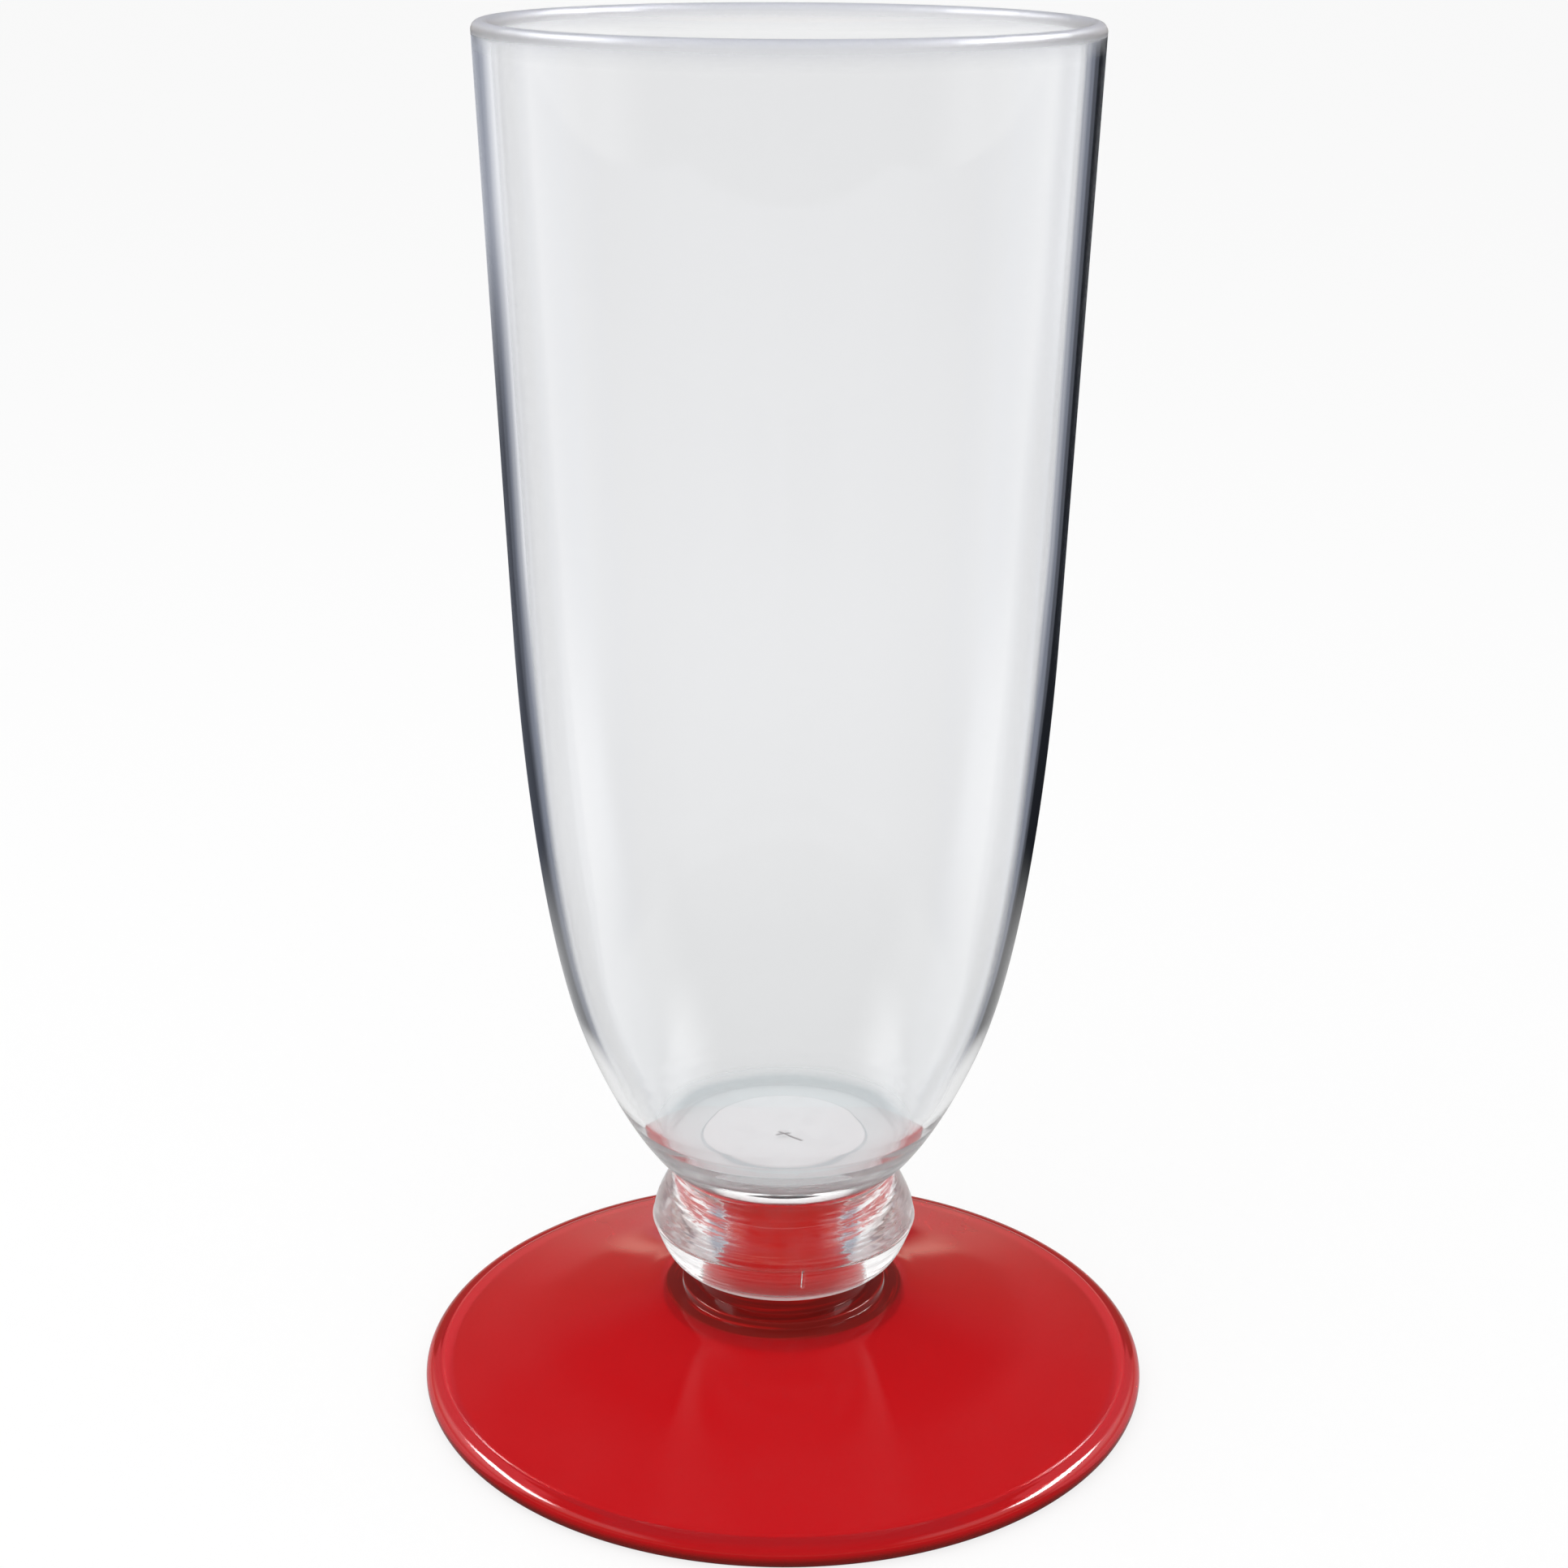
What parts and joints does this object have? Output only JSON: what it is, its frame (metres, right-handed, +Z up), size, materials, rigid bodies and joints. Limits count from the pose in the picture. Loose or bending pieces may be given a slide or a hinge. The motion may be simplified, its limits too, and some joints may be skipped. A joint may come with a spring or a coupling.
{
  "type": "champagne flute",
  "caption": "Clear tapered plastic flute bowl on a clear bead-shaped knop and a red translucent cone foot; the pieces push together and pull apart.",
  "frame": {"origin": "middle of the resting ring under the foot, on the turning axis", "axes": "+Z up along the turning axis, from the foot to the rim; X and Y are alike because every piece is turned about Z"},
  "size_m": [0.0762, 0.0762, 0.14],
  "materials": {
    "clear_plastic": "clear, polished by the mould",
    "red_plastic": "translucent red, glossy"
  },
  "bodies": {
    "base": {"base": "red_plastic"},
    "knop": {"knop": "clear_plastic"},
    "bowl": {"bowl": "clear_plastic"}
  },
  "joints": [
    {"name": "knop_lift", "type": "slide", "parent": "base", "child": "knop", "axis": [0, 0, 1], "range_m": [0, 0.014]},
    {"name": "bowl_lift", "type": "slide", "parent": "knop", "child": "bowl", "axis": [0, 0, 1], "range_m": [0, 0.014]}
  ]
}
